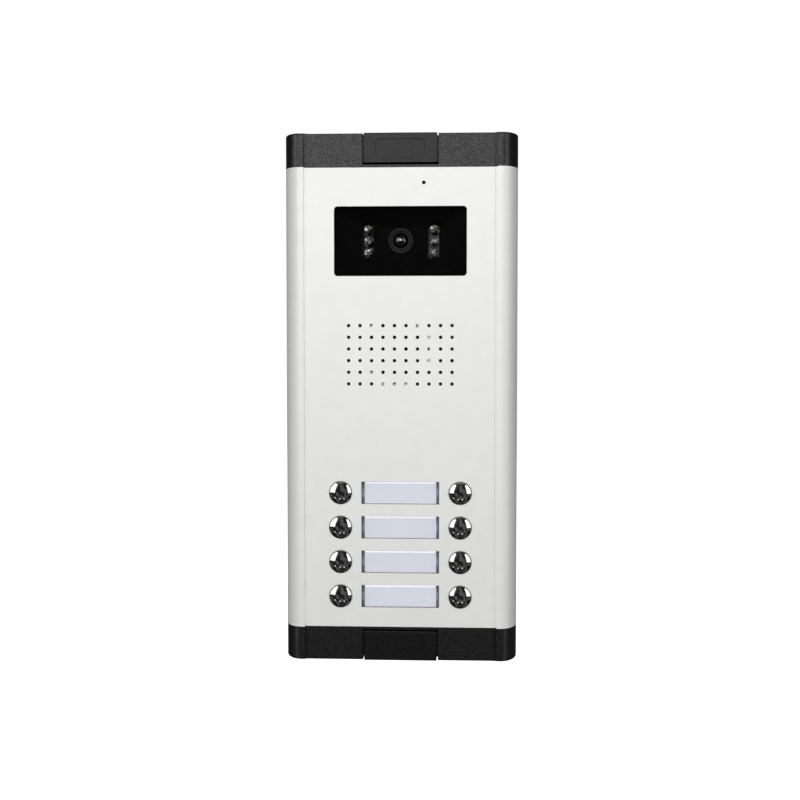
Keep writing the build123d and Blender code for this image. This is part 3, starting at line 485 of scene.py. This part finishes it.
class Piece:
    """Collects vertices and faces of one added piece, in millimetres."""

    def __init__(self):
        self.vertices = []
        self.faces = []

    def lathe(self, outline, x=0.0, z=0.0, steps=48):
        """Turns a closed outline of (radius, y) points about the line along Y through x, z."""
        start = len(self.vertices)
        for step in range(steps):
            turn = 2 * math.pi * step / steps
            for radius, y in outline:
                self.vertices.append((x + radius * math.cos(turn), y, z + radius * math.sin(turn)))
        count = len(outline)
        for step in range(steps):
            here, there = start + step * count, start + (step + 1) % steps * count
            for index in range(count):
                after = (index + 1) % count
                self.faces.append((here + index, here + after, there + after, there + index))
        return self

    def block(self, x_span, y_span, z_span):
        """A box from its low and high values along each axis."""
        start = len(self.vertices)
        self.vertices += [(x, y, z) for x in x_span for y in y_span for z in z_span]
        for face in BOX_FACES:
            self.faces.append(tuple(start + corner for corner in face))
        return self

    def finish(self, name, body, slot, material):
        """Makes the object with its sharp edges kept, and lets it ride on its body."""
        mesh = bpy.data.meshes.new(name)
        mesh.from_pydata([tuple(MM * part for part in v) for v in self.vertices], [], self.faces)
        mesh.materials.append(material)
        mesh.update()
        made = bpy.data.objects.new(name, mesh)
        bpy.context.collection.objects.link(made)
        bpy.context.view_layer.objects.active = made
        for other in bpy.context.selected_objects:
            other.select_set(False)
        made.select_set(True)
        bpy.ops.object.mode_set(mode="EDIT")
        bpy.ops.mesh.select_all(action="SELECT")
        bpy.ops.mesh.normals_make_consistent(inside=False)
        bpy.ops.object.mode_set(mode="OBJECT")
        bpy.ops.object.shade_auto_smooth(angle=math.radians(SHARP_EDGE))
        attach(made, body)


# Places and (radius, y) outlines of the added pieces, in millimetres
LENS_Z = 89.8
LED_X = 18.7
LED_PITCH = 6.75
LED_PLACES = [(side * LED_X, LENS_Z + LED_PITCH * up) for side in (-1, 1) for up in (-1, 0, 1)]
LEAD_END = -34.8
LEAD_HALF = 0.25
CUP_OUTLINE = (
    (0.5, -39.3),
    (1.55, -40.6),
    (1.75, -40.6),
    (1.75, -39.4),
    (0.9, -38.6),
    (0.5, -38.6),
)
DIE_HALF = 0.35
DIE_OUTLINE = (
    (0.0, -39.05),
    (0.5, -39.05),
    (0.5, -39.2),
    (0.0, -39.2),
)
DIE_STEPS = 24
FRONT_RING_OUTLINE = (
    (6.45, -43.5),
    (6.55, -43.72),
    (6.85, -43.72),
    (6.98, -43.5),
    (6.98, -42.9),
    (6.95, -42.9),
    (6.95, -43.4),
)
STOP_RINGS = (
    (5.35, 5.65, -43.05),
    (4.9, 5.15, -42.7),
    (4.45, 4.7, -42.35),
)
LENS_STEPS = 96
FELT_X = 13.3
FELT_Z = 122.0
FELT_OUTLINE = (
    (0.0, -44.98),
    (0.9, -44.95),
    (1.0, -44.85),
    (1.0, -44.62),
    (0.0, -44.62),
)
FELT_STEPS = 32


def make_lamp_insides():
    """Lead frames inside the six clear lamps, each with its bright cup and its die."""
    cup_steel = plated_steel("lead_frame", (0.86, 0.86, 0.84), 0.22)
    frames, dies = Piece(), Piece()
    for x, z in LED_PLACES:
        tall = (z - LEAD_HALF, z + LEAD_HALF)
        frames.lathe(CUP_OUTLINE, x, z)
        frames.block((x - 1.5, x - 0.4), (-39.2, LEAD_END), tall)
        frames.block((x + 0.55, x + 1.5), (-39.4, LEAD_END), tall)
        dies.block((x - DIE_HALF, x + DIE_HALF), (-39.5, -39.2), (z - DIE_HALF, z + DIE_HALF))
        dies.lathe(DIE_OUTLINE, x, z, DIE_STEPS)
    frames.finish("lamp_lead_frames", "housing", "capsule_metal", cup_steel)
    dies.finish("lamp_dies", "housing", "sensor_dark", phosphor("lamp_die"))


def make_lens_trim():
    """Front ring and inner stop rings of the camera lens."""
    ring_look = black_moulding("lens_trim", 0.035, 0.3, 0.4)
    stop_look = black_moulding("lens_stop", 0.03, 0.2, 0.5)
    front = Piece().lathe(FRONT_RING_OUTLINE, 0.0, LENS_Z, LENS_STEPS)
    front.finish("lens_front_ring", "housing", "lens_black", ring_look)
    stops = Piece()
    for inner, outer, y in STOP_RINGS:
        outline = ((inner, y), (inner, y - 0.12), (outer, y - 0.2), (outer, y))
        stops.lathe(outline, 0.0, LENS_Z, LENS_STEPS)
    stops.finish("lens_stop_rings", "housing", "lens_black", stop_look)


def make_microphone_felt():
    """Black felt disc on the capsule's face, under the sound hole."""
    felt = Piece().lathe(FELT_OUTLINE, FELT_X, FELT_Z, FELT_STEPS)
    felt.finish("microphone_felt", "housing", "foam", foam("felt_black"))


make_lamp_insides()
make_lens_trim()
make_microphone_felt()


# ---------------------------------------------------------------- stage, light and camera


def area_light(name, place, aim, size, power, diffuse=True):
    """A rectangular soft light; without diffuse it shows in reflections alone."""
    data = bpy.data.lights.new(name, "AREA")
    data.shape = "RECTANGLE"
    data.size, data.size_y = size
    data.energy = power
    lamp = bpy.data.objects.new(name, data)
    bpy.context.collection.objects.link(lamp)
    lamp.location = place
    lamp.rotation_euler = (Vector(aim) - Vector(place)).to_track_quat("-Z", "Y").to_euler()
    lamp.visible_camera = False
    lamp.visible_diffuse = diffuse
    return lamp


def link_light(lamp, names, state):
    """Keeps one light off those nodes with EXCLUDE, or on them alone with INCLUDE."""
    receivers = bpy.data.collections.new(f"{lamp.name}_receivers")
    for name in names:
        receivers.objects.link(nodes[name])
    lamp.light_linking.receiver_collection = receivers
    for entry in receivers.collection_objects:
        entry.light_linking.link_state = state


def room_pattern(tree):
    """Dark and less dark shapes of a room, for the domes to mirror."""
    coords = tree.nodes.new("ShaderNodeTexCoord")
    noise = tree.nodes.new("ShaderNodeTexNoise")
    noise.inputs["Scale"].default_value = ROOM_SCALE
    noise.inputs["Detail"].default_value = 3.0
    ramp = tree.nodes.new("ShaderNodeValToRGB")
    for element, position, level in zip(ramp.color_ramp.elements, ROOM_STEPS, ROOM_LEVELS):
        element.position = position
        element.color = (*shade(level), 1.0)
    tree.links.new(coords.outputs["Generated"], noise.inputs["Vector"])
    tree.links.new(noise.outputs["Fac"], ramp.inputs["Fac"])
    return ramp.outputs["Color"]


def make_world():
    """White behind the panel, and a dim studio all round it, dimmer still in reflections."""
    world = bpy.data.worlds.new("studio")
    bpy.context.scene.world = world
    world.use_nodes = True
    tree = world.node_tree
    tree.nodes.clear()
    output = tree.nodes.new("ShaderNodeOutputWorld")
    path = tree.nodes.new("ShaderNodeLightPath")
    surface = None
    for strength, ray in (
        (ROOM_LIGHT, None),
        (ROOM_REFLECTION, "Is Glossy Ray"),
        (BACKDROP, "Is Camera Ray"),
    ):
        background = tree.nodes.new("ShaderNodeBackground")
        background.inputs["Color"].default_value = (*WHITE, 1)
        background.inputs["Strength"].default_value = strength
        if ray == "Is Glossy Ray":
            tree.links.new(room_pattern(tree), background.inputs["Color"])
        if surface is None:
            surface = background.outputs["Background"]
            continue
        mix = tree.nodes.new("ShaderNodeMixShader")
        tree.links.new(path.outputs[ray], mix.inputs["Fac"])
        tree.links.new(surface, mix.inputs[1])
        tree.links.new(background.outputs["Background"], mix.inputs[2])
        surface = mix.outputs["Shader"]
    tree.links.new(surface, output.inputs["Surface"])


def make_floor():
    """A plain pale studio floor, well below the hanging panel."""
    bpy.ops.mesh.primitive_plane_add(size=FLOOR_SIZE, location=(0, 0, FLOOR_Z))
    floor = bpy.context.object
    floor.name = "studio_floor"
    look = Shader("floor_paper", shade(0.9), 0.9)
    look.bsdf.inputs["Emission Color"].default_value = (*WHITE, 1)
    look.bsdf.inputs["Emission Strength"].default_value = 1.0
    floor.data.materials.append(look.material)
    floor.visible_glossy = False
    floor.visible_diffuse = False


def make_camera():
    """The viewpoint: a little right of the middle and a little above it."""
    data = bpy.data.cameras.new("viewpoint")
    data.sensor_width = SENSOR_WIDTH
    data.lens = FOCAL_LENGTH
    camera = bpy.data.objects.new("viewpoint", data)
    bpy.context.collection.objects.link(camera)
    camera.location = CAMERA_PLACE
    line_of_sight = Vector(CAMERA_AIM) - Vector(CAMERA_PLACE)
    camera.rotation_euler = line_of_sight.to_track_quat("-Z", "Y").to_euler()
    bpy.context.scene.camera = camera


FLOOR_Z = -0.60
FLOOR_SIZE = 12.0
ROOM_LIGHT = 0.30
ROOM_REFLECTION = 0.038
ROOM_SCALE = 2.6
ROOM_STEPS = (0.45, 0.62)
ROOM_LEVELS = (0.25, 2.6)
BACKDROP = 1.02
SENSOR_WIDTH = 36.0
FOCAL_LENGTH = 58.5
CAMERA_PLACE = (0.0382, -0.7837, 0.0356)
CAMERA_AIM = (-0.00013, -0.048, -0.00054)
PANEL = (0, -0.04, 0)
ORIGIN = (0, 0, 0)

# Pieces that a light is kept off, or kept to
SHINY = ["button_bezels", "camera_window", *[f"button_{number}" for number in range(1, 9)]]
CAPS = ["top_cap", "bottom_cap", "top_screw_cover", "bottom_screw_cover"]
BACK = ["wall_bracket", "rear_cover", "rear_cover_screws", "cable_grommet", "bracket_nuts"]

# Name, place, size, power and power in reflections. The second light of each softbox stands a
# little behind the first, since a mirror shows only one of two lights in the same place
SOFTBOXES = (
    ("left", (-0.95, -0.62, 0.42), (0.9, 1.25), 0.5, 4.2),
    ("right", (0.95, -0.60, 0.32), (0.7, 1.1), 1.25, 2.1),
)
GLOW_DISTANCE = 1.03

# Name, place, size and power
CAP_SHEENS = (
    ("left", (-0.90, -0.68, 0.10), (0.3, 1.0), 3.6),
    ("right", (0.90, -0.68, 0.10), (0.3, 1.0), 2.7),
)
LOW_GLINTS = (
    ("low_left_glint", (-0.75, -0.75, -0.75), (0.16, 0.22), 0.06),
    ("low_middle_glint", (-0.18, -0.85, -0.85), (0.12, 0.20), 0.05),
    ("low_right_glint", (0.28, -0.80, -0.85), (0.12, 0.18), 0.05),
    ("camera_side_glint", (0.02, -1.20, 0.06), (0.10, 0.12), 0.006),
)

# Name and place
REAR_SOFTBOXES = (
    ("left", (-0.8, 0.9, 0.35)),
    ("middle", (0.0, 1.3, 0.55)),
    ("right", (0.8, 0.9, 0.35)),
)
REAR_SIZE = (1.0, 1.2)
REAR_POWER = 4.0

# Name, place and power
END_SHEENS = (
    ("top", (0.15, 0.12, 1.0), 5.0),
    ("bottom", (0.15, 0.12, -0.55), 1.5),
)
END_SHEEN_SIZE = (0.9, 0.6)

# Place, aim, size and power of the two lights that stand alone
TOP_SOFTBOX = ((0.0, -0.28, 0.62), (0, -0.04, 0.05), (0.9, 0.3), 0.13)
FRONT_FILL = ((-0.20, -1.78, 0.6), PANEL, (1.6, 1.0), 21.8)


def make_lights():
    """Softboxes, a front fill, lights for the caps or the back alone, and small glints."""
    for name, place, size, power, glow in SOFTBOXES:
        area_light(f"{name}_softbox", place, PANEL, size, power)
        behind = GLOW_DISTANCE * Vector(place)
        mirrored = area_light(f"{name}_softbox_glow", behind, PANEL, size, glow, diffuse=False)
        link_light(mirrored, ["left_rail"], "EXCLUDE")
    for name, place, size, power in CAP_SHEENS:
        sheen = area_light(f"{name}_cap_sheen", place, PANEL, size, power, diffuse=False)
        link_light(sheen, CAPS, "INCLUDE")
    for name, place in REAR_SOFTBOXES:
        rear = area_light(f"{name}_rear_softbox", place, ORIGIN, REAR_SIZE, REAR_POWER)
        link_light(rear, BACK, "INCLUDE")
    for name, place, power in END_SHEENS:
        sheen = area_light(f"{name}_cap_sheen", place, ORIGIN, END_SHEEN_SIZE, power)
        link_light(sheen, CAPS, "INCLUDE")
    area_light("top_softbox", *TOP_SOFTBOX)
    front_fill = area_light("front_fill", *FRONT_FILL)
    link_light(front_fill, SHINY, "EXCLUDE")
    for name, place, size, power in LOW_GLINTS:
        area_light(name, place, PANEL, size, power, diffuse=False)


make_world()
make_floor()
make_camera()
make_lights()
bpy.context.scene.view_settings.view_transform = "Standard"
